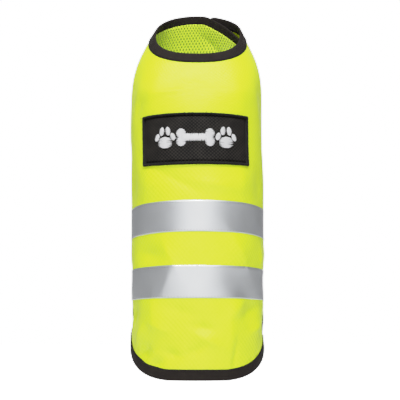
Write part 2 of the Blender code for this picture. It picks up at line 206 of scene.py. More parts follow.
PATCH_HIGH = 248.8

# Real thicknesses, thinner than the solids' walls.
CLOTH = 0.6
REST = 0.04  # between one layer and the next
TAPE_THICK = 0.35
BINDING_THICK = 0.7
LINING_THICK = 0.8
CLOSURE_THICK = 1.0
OUTER_FACE = CLOTH / 2  # the cloth's, from the form
TOP_OF_CLOTH = OUTER_FACE + REST  # where what is sewn on the cloth starts

# Mesh spacing.
FINE = 1.7
EDGE_STEP = 1.6
CLEAR = 0.55 * FINE  # how near the outline a point of the filling may be
SAME = 1e-4  # pattern points nearer than this are one
INSIDE = 1  # has delaunay_2d_cdt keep only the triangles inside the outline
PATCH_STEP = 0.8
SLOPE_STEP = 0.5

# Rings of the filled-out form, as in the solids. A power is 2 for an ellipse, and more is fuller.
Section = namedtuple("Section", "h half_width back_depth belly_depth tilt middle back_power belly_power")
SECTIONS = (
    Section(-40, 64.4, 60.0, 60.0, 0, 0, 2.06, 2.06),
    Section(0, 64.6, 60.5, 60.5, 0, 0, 2.06, 2.06),
    Section(60, 64.8, 61.5, 61.5, -0.5, 0, 2.06, 2.06),
    Section(100, 64.6, 62.0, 62.0, -2.3, 0, 2.06, 2.06),
    Section(140, 64.6, 62.0, 63.0, -3.5, 0, 2.06, 2.06),
    Section(180, 65.4, 62.0, 64.0, -4, 0, 2.06, 2.06),
    Section(230, 66.1, 61.5, 65.5, -2.6, -0.9, 2.06, 2.06),
    Section(250, 66.0, 61.0, 65.4, -0.5, -1.1, 2.06, 2.06),
    Section(265, 65.8, 60.5, 64.8, 4.5, -1.2, 2.06, 2.06),
    Section(285, 65.0, 59.5, 62.5, 14, -1.0, 2.06, 2.06),
    Section(300, 63.2, 57.6, 60.0, 22.5, -0.6, 2.08, 2.06),
    Section(315, 59.0, 55.0, 56.8, 29.5, -0.2, 2.15, 2.08),
    Section(330, 51.6, 52.0, 53.2, 35, 0, 2.3, 2.12),
    Section(343, 43.2, 50.0, 50.2, 38.2, 0, 2.5, 2.2),
    Section(356, 35.6, 48.0, 47.4, 40.5, 0, 2.6, 2.25),
)

# Soft folds: middle, half length, half width, direction in degrees, and height.
Fold = namedtuple("Fold", "s h length width turn height")
FOLDS = (
    Fold(-80, 182, 18, 10, 80, -1.8),
    Fold(72, 180, 18, 10, -80, -1.8),
    Fold(-57, 25, 9, 6, 30, -4.0),
    Fold(-42, 14, 8, 5, 20, -3.0),
    Fold(-84, 285, 34, 12, 75, -1.6),
    Fold(88, 268, 30, 10, -70, -1.8),
    Fold(-160, 296, 30, 12, 24, -1.5),
    Fold(142, 288, 24, 9, -35, -2.0),
    Fold(136, 348, 30, 13, 0, 2.4),
    Fold(-158, 148, 26, 12, -30, -1.5),
    Fold(206, 168, 22, 8, 12, -1.6),
    Fold(-106, 90, 22, 12, 65, -1.6),
    Fold(106, 86, 20, 12, -60, -1.6),
)

# Sharper creases: soft is how round the crest is, from 0, a crisp line, to 1.
Crease = namedtuple("Crease", "s h length width turn height soft")
CREASES = (
    # Above the badge.
    Crease(-46, 292, 36, 14, 84, 3.2, 0.4),
    Crease(45, 288, 36, 14, 97, 3.2, 0.4),
    Crease(-24, 287, 22, 6, 17, 2.2, 0.25),
    Crease(-5, 307, 13, 5, -28, 2.0, 0.25),
    Crease(-66, 262, 16, 6, 62, -1.6, 0.4),
    # Between the badge and the front band.
    Crease(-52, 182, 15, 12, 70, 3.2, 0.3),
    Crease(46, 182, 15, 12, 88, 3.4, 0.3),
    Crease(-20, 181, 28, 7, -27, -2.6, 0.2),
    Crease(16, 177, 20, 7, -8, 2.6, 0.15),
    # Between the bands.
    Crease(-52, 114, 17, 8, -10, -3.6, 0.4),
    Crease(-28, 113, 15, 9, -60, 3.2, 0.12),
    Crease(43, 117, 19, 14, -58, 4.4, 0.1),
    Crease(78, 113, 12, 4, 90, 2.0, 0.3),
    # Across the rear band.
    Crease(-30, 88, 20, 14, 66, 2.4, 0.08),
    # Below the rear band.
    Crease(-45, 62, 16, 13, 90, 4.2, 0.1),
    Crease(-38, 47, 11, 8, -24, 3.6, 0.12),
    Crease(-62, 43, 13, 7, 47, 4.2, 0.15),
    Crease(-78, 60, 12, 8, 60, -3.8, 0.3),
    Crease(41, 65, 11, 10, 41, 3.6, 0.12),
    Crease(33, 38, 24, 13, 88, 3.8, 0.12),
    Crease(58, 62, 16, 9, 22, -4.2, 0.3),
    Crease(68, 47, 12, 6, 25, 3.0, 0.2),
    Crease(38, 22, 14, 3, 82, -2.2, 0.2),
    Crease(-16, 62, 18, 6, -12, -2.2, 0.3),
    Crease(6, 47, 11, 5, -10, -3.6, 0.2),
    Crease(9, 36, 14, 5, -26, 3.0, 0.2),
    Crease(-26, 23, 10, 5, -14, -3.6, 0.25),
    Crease(-2, 26, 10, 5, 25, -3.0, 0.25),
    # On the sides and under the body.
    Crease(-104, 52, 20, 8, 58, -3.2, 0.3),
    Crease(-112, 128, 22, 8, -48, 1.4, 0.3),
    Crease(-98, 216, 20, 9, 74, -1.2, 0.4),
    Crease(98, 46, 18, 8, -62, -3.0, 0.3),
    Crease(108, 126, 24, 8, 54, 1.5, 0.3),
    Crease(98, 222, 24, 8, -72, -1.2, 0.4),
    Crease(-168, 168, 20, 8, -64, 3.2, 0.2),
    Crease(-216, 186, 22, 7, 24, -3.0, 0.3),
    Crease(-192, 298, 26, 8, -18, -3.4, 0.3),
    Crease(-222, 318, 18, 7, 30, 2.8, 0.2),
    Crease(-244, 292, 20, 8, 62, 3.2, 0.2),
    Crease(150, 190, 20, 7, -20, -2.8, 0.3),
    Crease(160, 150, 18, 8, 58, 3.0, 0.2),
    Crease(166, 308, 20, 8, -38, -3.2, 0.2),
)


def smooth(t):
    """Rises from 0 to 1 as t does, with a level start and end."""
    t = np.clip(t, 0.0, 1.0)
    return t * t * (3 - 2 * t)


def ring_at(h):
    """The columns of SECTIONS at each pattern height, on a smooth curve through its rows."""
    table = np.array(SECTIONS, float)
    first = np.searchsorted(table[1:-1, 0], h, side="right")
    rows = [table[np.clip(first + k, 0, len(table) - 1)] for k in (-1, 0, 1, 2)]
    before, start, end, after = rows
    span = end[:, :1] - start[:, :1]
    t = (h[:, None] - start[:, :1]) / span
    leaving = (end - before) / np.maximum(end[:, :1] - before[:, :1], 1) * span
    arriving = (after - start) / np.maximum(after[:, :1] - start[:, :1], 1) * span
    ring = (
        start * (2 * t**3 - 3 * t**2 + 1)
        + leaving * (t**3 - 2 * t**2 + t)
        + end * (3 * t**2 - 2 * t**3)
        + arriving * (t**3 - t**2)
    )
    return ring.T


def along_and_across(fold, s, h):
    """Pattern points from a fold's middle, along and across it, in its own half sizes."""
    round_girth = s - fold.s
    round_girth -= GIRTH * np.round(round_girth / GIRTH)
    way = complex(math.cos(math.radians(fold.turn)), -math.sin(math.radians(fold.turn)))
    offset = (round_girth + 1j * (h - fold.h)) * way
    return offset.real / fold.length, offset.imag / fold.width


def fold_height(s, h):
    """How far the folds and creases move the cloth outwards at pattern points."""
    total = np.zeros(len(s))
    for fold in FOLDS:
        along, across = along_and_across(fold, s, h)
        total += fold.height * np.exp(-(along**2) - across**2)
    for crease in CREASES:
        along, across = along_and_across(crease, s, h)
        crest = crease.soft - np.sqrt(across**2 + crease.soft**2)
        total += crease.height * np.exp(crest - along**2)
    return total


def form_points(s, h):
    """The form under pattern points, in millimetres, a row for each point."""
    _, half_width, back_depth, belly_depth, tilt, middle, back_power, belly_power = ring_at(h)
    angle = TAU * s / GIRTH
    across, up = np.sin(angle), np.cos(angle)
    depth = np.where(up > 0, back_depth, belly_depth)
    power = np.where(up > 0, back_power, belly_power)
    radius = ((abs(up) / depth) ** power + (abs(across) / half_width) ** power) ** (-1 / power)
    radius = radius + fold_height(s, h)
    belly_wards = -radius * up
    tilt = np.radians(tilt)
    y = belly_wards * np.cos(tilt)
    z = h + belly_wards * np.sin(tilt) - ORIGIN_HEIGHT
    return np.stack([middle + radius * across, y, z], axis=1)


def slopes(s, h):
    """What one pattern millimetre along s, and one along h, is on the form."""
    step = SLOPE_STEP
    along_s = (form_points(s + step, h) - form_points(s - step, h)) / (2 * step)
    along_h = (form_points(s, h + step) - form_points(s, h - step)) / (2 * step)
    return along_s, along_h


def unit(vectors):
    """Rows scaled to length 1."""
    return vectors / np.linalg.norm(vectors, axis=1, keepdims=True)


def wrap(pattern, lift=0.0):
    """Pattern points on the form, lift millimetres outside it, in metres.

    The left wings slope inwards, so that their ends lie inside the right ones.
    """
    s, h = pattern.real, pattern.imag
    outwards = unit(np.cross(*slopes(s, h)))
    lift = lift - LAYER * smooth((-LAYER_START - s) / LAYER_RUN)
    return (form_points(s, h) + outwards * np.reshape(lift, (-1, 1))) * MM


def inward(pattern, run):
    """The pattern step of one real millimetre into the cloth, square to an edge that runs along run."""
    along_s, along_h = slopes(pattern.real, pattern.imag)
    edge = along_s * run.real[:, None] + along_h * run.imag[:, None]
    square = unit(np.cross(np.cross(along_s, along_h), edge))

    def dot(a, b):
        return (a * b).sum(axis=1)

    ss, sh, hh = dot(along_s, along_s), dot(along_s, along_h), dot(along_h, along_h)
    on_s, on_h = dot(square, along_s), dot(square, along_h)
    size = ss * hh - sh * sh
    return ((on_s * hh - on_h * sh) + 1j * (on_h * ss - on_s * sh)) / size


# Outlines on the flat pattern, each with the cloth on its left.

Corner = namedtuple("Corner", "name at radius")
BINDING_JOINS = ("belly_end_rear", "chest_end_front")


def half_corners(side, chest_end, belly_end, chest_top, chest_corner):
    """One side's corners from the rear hem to the neck edge; side is 1 for right and -1 for left."""
    rows = (
        ("hem", HEM_REACH, 0, HEM_RADIUS),
        ("belly_rear", HEM_REACH, BELLY_REAR, BELLY_FILLET),
        ("belly_end_rear", belly_end, BELLY_REAR, END_RADIUS),
        ("belly_end_front", belly_end, BELLY_FRONT, END_RADIUS),
        ("leg_rear", LEG_REACH, BELLY_FRONT, LEG_RADIUS),
        ("leg_front", LEG_REACH, CHEST_REAR, LEG_RADIUS),
        ("chest_end_rear", chest_end, CHEST_REAR, END_RADIUS),
        ("chest_end_front", chest_end, chest_top, chest_corner),
    )
    return [Corner(name, complex(side * s, h), radius) for name, s, h, radius in rows]


def steps(start, end):
    """Points from start up to but not including end, at most EDGE_STEP apart."""
    count = max(1, math.ceil(abs(end - start) / EDGE_STEP))
    return [start + (end - start) * k / count for k in range(count)]


def arc(corner, before, after):
    """The arc that rounds a corner between its neighbours, as an odd number of points."""
    back, ahead = ((c.at - corner.at) / abs(c.at - corner.at) for c in (before, after))
    half = math.acos((back * ahead.conjugate()).real) / 2
    start, end = (corner.at + way * corner.radius / math.tan(half) for way in (back, ahead))
    middle_way = (back + ahead) / abs(back + ahead)
    centre = corner.at + middle_way * corner.radius / math.sin(half)
    sweep = np.angle((end - centre) / (start - centre))
    count = 2 * math.ceil(abs(sweep) * corner.radius / EDGE_STEP / 2)
    return [centre + (start - centre) * np.exp(1j * sweep * k / count) for k in range(count + 1)]


def body_outline():
    """The whole body's outline, wings and all, and where in it one binding meets the next."""
    right = half_corners(1, CHEST_END_RIGHT, BELLY_END_RIGHT, NECK, CHEST_CORNER_RIGHT)
    left = half_corners(-1, CHEST_END_LEFT, BELLY_END_LEFT, NECK - DIP, END_RADIUS)
    dip = Corner("neck_dip", complex(-DIP_START, NECK), DIP_RADIUS)
    corners = right + [dip] + left[::-1]
    neighbours = zip(corners, corners[-1:] + corners[:-1], corners[1:] + corners[:1])
    arcs = [arc(*three) for three in neighbours]
    points, joins = [], []
    for corner, here, after in zip(corners, arcs, arcs[1:] + arcs[:1]):
        if corner.name in BINDING_JOINS:
            joins.append(len(points) + len(here) // 2)
        points += here[:-1] + steps(here[-1], after[0])
    return np.array(points), joins


def clip(outline, line, side):
    """The part of an outline on one side of a pattern line, and its cut edges divided.

    line is ("s", limit) or ("h", limit); side is 1 for above the limit and -1 for below it.
    """
    axis, limit = line
    reach = side * ((outline.real if axis == "s" else outline.imag) - limit)
    kept = []
    for k, now in enumerate(reach):
        was = reach[k - 1]
        if (was > 0) != (now > 0):
            kept.append(outline[k - 1] + (outline[k] - outline[k - 1]) * was / (was - now))
        if now > 0:
            kept.append(outline[k])
    points = []
    for here, after in zip(kept, kept[1:] + kept[:1]):
        points += steps(here, after)
    return np.array(points)


def drawn_in(outline, distance):
    """A closed outline moved a real distance into the cloth, point for point."""
    run = np.roll(outline, -1) - np.roll(outline, 1)
    return outline + inward(outline, run) * distance


def crossing(outline, h, side, most):
    """The s furthest out on a side where an outline crosses height h, or most if that is nearer."""
    after = np.roll(outline, -1)
    hit = (outline.imag > h) != (after.imag > h)
    a, b = outline[hit], after[hit]
    s = a.real + (h - a.imag) * (b.real - a.real) / (b.imag - a.imag)
    return side * min((side * s).max(), most)


def strip_outline(low, high, left_end, right_end):
    """A strip's outline; left_end and right_end give each side's s at a height."""
    heights = np.linspace(low, high, math.ceil((high - low) / EDGE_STEP) + 1)
    left = [complex(left_end(h), h) for h in heights]
    right = [complex(right_end(h), h) for h in heights]
    return np.array(steps(left[0], right[0]) + right + steps(right[-1], left[-1])[1:] + left[:0:-1])


def rectangle(left, right, low, high):
    """The outline of a strip with straight ends."""
    return strip_outline(low, high, lambda h: left, lambda h: right)


def stations_between(start, end, count):
    """The numbers of a closed outline's points from one of them to another, both included."""
    stop = end if end > start else end + count
    return np.arange(start, stop + 1) % count


def travelled(line):
    """How far along a pattern line each of its points lies."""
    return np.concatenate([[0], np.cumsum(abs(np.diff(line)))])


def filling(outline):
    """Points of a square grid that keep clear of a closed outline, inside it and outside."""
    tree = KDTree(len(outline))
    for k, p in enumerate(outline):
        tree.insert((p.real, p.imag, 0), k)
    tree.balance()
    columns, rows = (
        np.arange(math.ceil(part.min() / FINE), part.max() / FINE) * FINE
        for part in (outline.real, outline.imag)
    )
    return [(s, h) for s in columns for h in rows if tree.find((s, h, 0))[2] > CLEAR]


def flat_mesh(outline):
    """The pattern points and triangles that fill a closed outline."""
    edge = [(p.real, p.imag) for p in outline]
    face = list(range(len(edge)))
    points, _, triangles = delaunay_2d_cdt(edge + filling(outline), [], [face], INSIDE, SAME)[:3]
    used = sorted({k for triangle in triangles for k in triangle})
    place = {k: order for order, k in enumerate(used)}
    pattern = np.array([complex(*points[k]) for k in used])
    return pattern, [tuple(place[k] for k in triangle) for triangle in triangles]


# Meshes.


def add_to_scene(name, data):
    """A new object in the scene."""
    obj = bpy.data.objects.new(name, data)
    bpy.context.scene.collection.objects.link(obj)
    return obj


def make_object(name, points, faces, material, pattern):
    """A smooth object from points in metres, with the pattern in its UV map."""
    mesh = bpy.data.meshes.new(name)
    mesh.from_pydata(points.tolist(), [], faces)
    mesh.shade_smooth()
    mesh.materials.append(material)
    corners = np.zeros(len(mesh.loops), int)
    mesh.loops.foreach_get("vertex_index", corners)
    uv = np.stack([pattern.real, pattern.imag], axis=1)[corners]
    mesh.uv_layers.new(name="pattern").data.foreach_set("uv", uv.ravel())
    return add_to_scene(name, mesh)


def lay(name, outline, lift, thickness, material):
    """A sheet over a pattern outline, its outer face lift millimetres from the form."""
    pattern, faces = flat_mesh(outline)
    obj = make_object(name, wrap(pattern, lift), faces, material, pattern)
    solidify = obj.modifiers.new("thickness", "SOLIDIFY")
    solidify.thickness = thickness * MM
    solidify.offset = -1
    return obj


THREAD_SIDES = 6
THREAD_ENDS = 0.35  # the radius at a thread's ends, as a share of the rest
STITCH_BOW = (-0.6, 0.5, 0.5, -0.6)  # how high a stitch's points lie, in thread radii
Stitch = namedtuple("Stitch", "length gap radius")
BINDING_STITCH = Stitch(2.4, 0.7, 0.2)
TAPE_STITCH = Stitch(2.2, 0.8, 0.13)


def thread_faces(count, length):
    """The faces of `count` threads, each a tube of `length` rings with both its ends closed."""
    size = THREAD_SIDES
    faces = []
    for thread in range(count):
        first = thread * length * size
        last = first + (length - 1) * size
        for ring in range(first, last, size):
            for a in range(size):
                b = (a + 1) % size
                faces.append((ring + a, ring + a + size, ring + b + size, ring + b))
        faces.append(tuple(range(first, first + size)))
        faces.append(tuple(reversed(range(last, last + size))))
    return faces


def rods(name, paths, lifts, radius, material):
    """Threads laid over the form as one object.

    paths is a row of pattern points for each thread, and lifts is how high its middle runs.
    """
    run = np.gradient(paths, axis=1)
    square = 1j * run / abs(run)
    taper = np.ones(paths.shape[1])
    taper[0] = taper[-1] = THREAD_ENDS
    turn = TAU * np.arange(THREAD_SIDES) / THREAD_SIDES
    wide = radius * taper[:, None] * np.cos(turn)
    high = radius * taper[:, None] * np.sin(turn)
    pattern = (paths[:, :, None] + square[:, :, None] * wide).ravel()
    points = wrap(pattern, (lifts[:, :, None] + high).ravel())
    return make_object(name, points, thread_faces(*paths.shape), material, pattern)


def stitches(name, line, lift, stitch, material):
    """A row of stitches along an open pattern line."""
    travel = travelled(line)
    starts = np.arange(stitch.gap, travel[-1] - stitch.length, stitch.length + stitch.gap)
    at = starts[:, None] + np.linspace(0, 1, len(STITCH_BOW)) * stitch.length
    paths = np.interp(at, travel, line.real) + 1j * np.interp(at, travel, line.imag)
    lifts = np.broadcast_to(lift + stitch.radius * np.array(STITCH_BOW), paths.shape)
    return rods(name, paths, lifts, stitch.radius, material)


def binding_profile():
    """The folded tape's section, going round it, as distance into the cloth and lift."""
    near = TOP_OF_CLOTH
    far = near + BINDING_THICK
    swell, bevel, overhang = 0.12, 0.25, 0.05
    outer = [
        (BINDING_OUTSIDE, near),
        (BINDING_OUTSIDE + overhang, near + 0.5 * BINDING_THICK),
        (BINDING_OUTSIDE - bevel, far),
        (0.75 * BINDING_OUTSIDE, far),
        (0.45 * BINDING_OUTSIDE, far + swell),
        (0.15 * BINDING_OUTSIDE, far + swell),
    ]
    turns = np.radians(np.linspace(90, 270, 9))
    fold = [(far * math.cos(turn), far * math.sin(turn)) for turn in turns]
    scale = BINDING_INSIDE / BINDING_OUTSIDE
    inner = [(distance * scale, -lift) for distance, lift in reversed(outer)]
    return np.array(outer + fold + inner + [(-REST, -near), (-REST, near)])


def band_faces(rings, size):
    """The faces of a band of `rings` sections of `size` points each, with both its ends closed."""
    faces = []
    for ring in range(0, (rings - 1) * size, size):
        for corner in range(size):
            a, b = ring + corner, ring + (corner + 1) % size
            faces.append((a, b, b + size, a + size))
    faces.append(tuple(reversed(range(size))))
    faces.append(tuple(range((rings - 1) * size, rings * size)))
    return faces


def binding(name, outline, stations, material):
    """Tape folded over the body's edge at the given points of its outline, by number."""
    profile = binding_profile()
    edge = outline[stations]
    step = (drawn_in(outline, 1.0) - outline)[stations]
    pattern = (edge[:, None] + step[:, None] * profile[:, 0]).ravel()
    points = wrap(pattern, np.tile(profile[:, 1], len(stations)))
    along = (travelled(edge)[:, None] + 1j * profile[:, 0]).ravel()
    return make_object(name, points, band_faces(len(stations), len(profile)), material, along)


# Materials. Pitches, sizes and depths are in millimetres, and colours are linear.


class Shader:
    """A material's nodes. A value is a number, a colour or another node's output."""

    def __init__(self, name):
        self.material = bpy.data.materials.new(name)
        self.material.use_nodes = True
        self.tree = self.material.node_tree
        self.surface = self.tree.nodes["Principled BSDF"]
        self.pattern = self.add("ShaderNodeUVMap", uv_map="pattern")
        self.s = self.add("ShaderNodeSeparateXYZ", {0: self.pattern})
        self.h = self.s.node.outputs[1]

    def fill(self, node, values):
        """Sets or links a node's inputs, by name or number."""
        for socket, value in values.items():
            if isinstance(value, bpy.types.NodeSocket):
                self.tree.links.new(value, node.inputs[socket])
            else:
                node.inputs[socket].default_value = value

    def add(self, kind, values=(), **settings):
        """A new node's first output."""
        node = self.tree.nodes.new(kind)
        for key, value in settings.items():
            setattr(node, key, value)
        self.fill(node, dict(values))
        return node.outputs[0]

    def math(self, operation, *values):
        """A math node's output."""
        return self.add("ShaderNodeMath", enumerate(values), operation=operation)

    def wave(self, along, pitch):
        """A sine along a pattern coordinate, from -1 to 1."""
        return self.math("SINE", self.math("MULTIPLY", along, TAU / pitch))

    def weave(self, pitch_round, pitch_up):
        """Two crossed sines, from -1 to 1, with their pitches round the girth and up it."""
        return self.math("MULTIPLY", self.wave(self.s, pitch_round), self.wave(self.h, pitch_up))

    def noise(self, size, detail=2.0):
        """Noise from 0 to 1 with blotches about size millimetres across."""
        values = {"Vector": self.pattern, "Scale": 1 / size, "Detail": detail}
        return self.add("ShaderNodeTexNoise", values)

    def weighted(self, first, first_weight, second, second_weight):
        """Two outputs added by weight."""
        rest = self.math("MULTIPLY", second, second_weight)
        return self.math("MULTIPLY_ADD", first, first_weight, rest)

    def blend(self, share, first, second):
        """Two colours mixed by a share."""
        node = self.tree.nodes.new("ShaderNodeMix")
        node.data_type = "RGBA"
        self.fill(node, {0: share})
        sockets = [socket for socket in node.inputs if socket.type == "RGBA"]
        for socket, colour in zip(sockets, (first, second)):
            socket.default_value = (*colour, 1)
        return next(socket for socket in node.outputs if socket.type == "RGBA")

    def bump(self, height, depth, under=None):
        """A normal from a height of about 1, depth millimetres deep."""
        values = {"Strength": 1.0, "Distance": depth * MM, "Height": height}
        if under is not None:
            values["Normal"] = under
        return self.add("ShaderNodeBump", values)

    def finish(self, **sockets):
        """Sets the surface's sockets, with _ for a space, and gives the material."""
        self.fill(self.surface, {key.replace("_", " "): value for key, value in sockets.items()})
        return self.material


def hi_vis_cloth():
    """Fluorescent knitted polyester: fine diagonal eyelets with painted shade in their hollows, a soft sheen and
    slight mottling.
    """
    shader = Shader("fluorescent_cloth")
    eyelets = shader.weave(4.6, 4.8)
    threads = shader.weave(0.9, 1.1)
    # the colour's share is partly painted shade, darker where the eyelets' bump lies low, and partly random mottling
    # from the noise
    share = shader.weighted(eyelets, 0.3, shader.noise(26), 0.9)
    colour = shader.blend(share, (0.69, 0.92, 0.010), (0.75, 0.95, 0.027))
    normal = shader.bump(threads, 0.04, shader.bump(eyelets, 0.09))
    return shader.finish(
        Base_Color=colour,
        Roughness=0.44,
        Specular_IOR_Level=0.45,
        Sheen_Weight=0.06,
        Sheen_Roughness=0.4,
        Sheen_Tint=(0.9, 1, 0.4, 1),
        Normal=normal,
    )


def mesh_lining():
    """Air mesh: rows of small hollows, with shade painted into them."""
    shader = Shader("air_mesh")
    hollows = shader.math("MAXIMUM", shader.weave(3.9, 4.6), 0)
    hollow_depth_and_painted_shade = shader.math("SMOOTH_MIN", 1.0, shader.math("MULTIPLY", hollows, 1.3), 0.2)
    # the mask gives the hollows' depth to the bump and paints shade into them: the second colour is a darker copy of
    # the mesh's green
    colour = shader.blend(hollow_depth_and_painted_shade, (0.64, 0.84, 0.03), (0.24, 0.38, 0.01))
    return shader.finish(
        Base_Color=colour,
        Roughness=0.8,
        Sheen_Weight=0.3,
        Normal=shader.bump(shader.math("MULTIPLY", hollow_depth_and_painted_shade, -1.0), 0.5),
    )


def binding_tape():
    """Black ribbed binding tape, faintly mottled."""
    shader = Shader("black_binding")
    ribs = shader.wave(shader.s, 0.8)
    colour = shader.blend(shader.noise(9), (0.011, 0.008, 0.007), (0.022, 0.017, 0.015))
    return shader.finish(
        Base_Color=colour,
        Roughness=0.7,
        Specular_IOR_Level=0.14,
        Sheen_Weight=0.02,
        Normal=shader.bump(ribs, 0.06),
    )


def reflective_tape():
    """Silver tape of glass beads."""
    shader = Shader("glass_bead_tape")
    beads = shader.noise(0.35)
    colour = shader.blend(shader.noise(18), (0.565, 0.58, 0.6), (0.61, 0.63, 0.655))
    return shader.finish(
        Base_Color=colour,
        Metallic=0.85,
        Roughness=0.47,
        Normal=shader.bump(beads, 0.02),
    )


def patch_cloth():
    """Black woven badge cloth, with painted shade darker in the weave's low parts and random mottling."""
    shader = Shader("black_weave")
    weave = shader.weave(3.6, 3.4)
    # the colour's share is partly painted shade, darker where the weave's bump lies low, and partly random mottling
    # from the noise
    share = shader.weighted(weave, 0.6, shader.noise(12), 0.8)
    colour = shader.blend(share, (0.001, 0.001, 0.001), (0.026, 0.023, 0.020))
    return shader.finish(
        Base_Color=colour,
        Roughness=0.7,
        Specular_IOR_Level=0.12,
        Normal=shader.bump(weave, 0.12),
    )


def thread(name, colour, roughness=0.5, gloss=0.5, sheen=0.3):
    """Twisted polyester thread."""
    shader = Shader(name)
    twist = shader.wave(shader.math("ADD", shader.s, shader.h), 0.5)
    shaded = tuple(0.85 * part for part in colour)
    return shader.finish(
        Base_Color=shader.blend(shader.noise(3), shaded, colour),
        Roughness=roughness,
        Specular_IOR_Level=gloss,
        Sheen_Weight=sheen,
        Normal=shader.bump(twist, 0.05),
    )


def closure_tape():
    """Black touch-and-close tape, with shade painted darker into the low spots of its fuzz."""
    shader = Shader("touch_and_close")
    pile_and_painted_shade = shader.noise(0.6, detail=4.0)
    # the colour follows the same noise as the bump, so shade is painted darker where the bump lies low
    colour = shader.blend(pile_and_painted_shade, (0.008, 0.008, 0.008), (0.035, 0.035, 0.035))
    return shader.finish(Base_Color=colour, Roughness=0.9, Normal=shader.bump(pile_and_painted_shade, 0.4))


# The badge.

SEED = 7
PATCH_ROLL = 2.7  # width of the rolled border
PATCH_TRENCH = 4.2  # from the badge's edge to the far side of the groove along the border
PATCH_RISE = 0.8  # how far the field takes to rise from there
PATCH_FIELD = 1.1  # the field's height over the cloth
PATCH_FLOOR = 0.15  # the groove's
PATCH_BOW = 2.4  # how much higher the low edge is at the corners
ROLL_HEIGHT = 1.5
FIELD_TOP = TOP_OF_CLOTH + PATCH_FIELD
EDGE_LINES = (0, 0.1, 0.3)  # the first of the badge's mesh lines, from its edge
EVEN_FROM = 0.6  # where the even ones start
EVEN_STOP = 0.5  # how near the far end they go
THREAD_POINTS = 7  # along each thread of the border and the motifs
LOOSE_POINTS = 9  # along each loose thread and fibre

# Threads wound over the border.
BORDER_PITCH = 0.55
BORDER_OVERHANG = 0.25  # how far outside the badge's edge they start
BORDER_REACH = PATCH_ROLL + 0.3  # how far in from there they end
BORDER_LEAN = 0.5  # how far along the edge they drift on the way in
BORDER_SHIFT = 0.06  # spread of their places along the edge
BORDER_FRAY = 0.12  # spread of their starts
BORDER_LIFT = 0.25  # how high they run at their ends
BORDER_UNEVEN = 0.04  # spread of their heights
BORDER_ROUND = 0.7  # power of a sine: how full the arch over the border is
BORDER_RADIUS = 0.3

# Satin stitch in blocks: each one's middle, from MOTIFS_MIDDLE, then its half length, half width and
# direction in degrees. A power is 2 for an ellipse, and more is squarer.
Satin = namedtuple("Satin", "s h length width turn power")
MOTIFS_MIDDLE = complex(-1.0, 222.5)
MOTIF_STEP = 30.5  # from the bone's middle to each paw's
SATIN_PITCH = 0.42
SATIN_RADIUS = 0.27
SATIN_FRAY = 0.16  # spread of the threads' ends
SATIN_SLANT = 0.05  # spread of their directions
SATIN_LIFT = 0.15  # how high over the field they run at their ends
SATIN_CROWN = 0.45  # how much higher they run in their middles
SATIN_UNEVEN = 0.03  # spread of their heights

# Threads that pass from one motif to the next, and stray fibres off the border.
TRAVELS = ((-21.5 - 0.6j, -14.5 + 0.4j), (14.5 + 0.2j, 21.5 - 0.5j))
TRAVEL_SAG = 0.5
TRAVEL_LIFT = 0.3  # over the field
TRAVEL_RADIUS = 0.16
Fibre = namedtuple("Fibre", "start reach curl")
FIBRES = (
    Fibre(complex(9.5, PATCH_HIGH - 0.5), 3.2j, 1.4),
    Fibre(complex(-58.5, PATCH_HIGH - 2), -4.5 + 0.6j, 1.8j),
    Fibre(complex(-58.2, PATCH_HIGH - 5), -2.6 - 1.0j, 0),
)
FIBRE_LIFT = 0.3  # over the cloth, at a fibre's ends
FIBRE_ARCH = 1.2  # and how much more in its middle
FIBRE_RADIUS = 0.12


def paw(middle):
    """A paw print's satin-stitched ovals."""
    return [
        Satin(middle, -4.6, 5.6, 7.4, 90, 2.4),
        Satin(middle - 8.2, 1.0, 3.9, 2.6, 70, 2.0),
        Satin(middle - 3.2, 6.9, 4.4, 2.7, 82, 2.0),
        Satin(middle + 3.2, 6.9, 4.4, 2.7, 98, 2.0),
        Satin(middle + 8.2, 1.0, 3.9, 2.6, 110, 2.0),
    ]


def bone(middle):
    """A bone's satin-stitched shaft and knobs."""
    knobs = [
        Satin(middle + side * 14.2, up * 4.2, 4.7, 4.9, 90, 2.0) for side in (-1, 1) for up in (-1, 1)
    ]
    return [Satin(middle, 0.0, 12.5, 3.9, 0, 8.0)] + knobs


def satin_threads(blocks, rng):
    """The threads across each block, as paths of pattern points, and each point's share of the way.

    A share is -1 at one end of a thread and 1 at the other.
    """
    share = np.linspace(-1, 1, THREAD_POINTS)
    paths = []
    for block in blocks:
        way = np.exp(1j * math.radians(block.turn))
        along = np.arange(-block.length + SATIN_PITCH / 2, block.length, SATIN_PITCH)
        half = block.width * (1 - abs(along / block.length) ** block.power) ** (1 / block.power)
        ends = half[:, None] + rng.normal(0, SATIN_FRAY, (len(along), 2))
        across = np.where(share < 0, share * ends[:, :1], share * ends[:, 1:])
        slant = rng.normal(0, SATIN_SLANT, len(along))[:, None] * across
        centre = MOTIFS_MIDDLE + complex(block.s, block.h)
        paths.append(centre + way * ((along[:, None] + slant) + 1j * across))
    return np.concatenate(paths), share


def from_patch_edge(pattern):
    """How far pattern points lie inside the badge's nearest edge."""
    to_side = PATCH_HALF - abs(pattern.real - PATCH_MIDDLE)
    return np.minimum.reduce([to_side, pattern.imag - PATCH_LOW, PATCH_HIGH - pattern.imag])


def bowed(pattern):
    """Points of the straight badge where its low edge rises towards the corners."""
    out = (pattern.real - PATCH_MIDDLE) / PATCH_HALF
    down = (PATCH_HIGH - pattern.imag) / (PATCH_HIGH - PATCH_LOW)
    return pattern + 1j * PATCH_BOW * out**2 * down


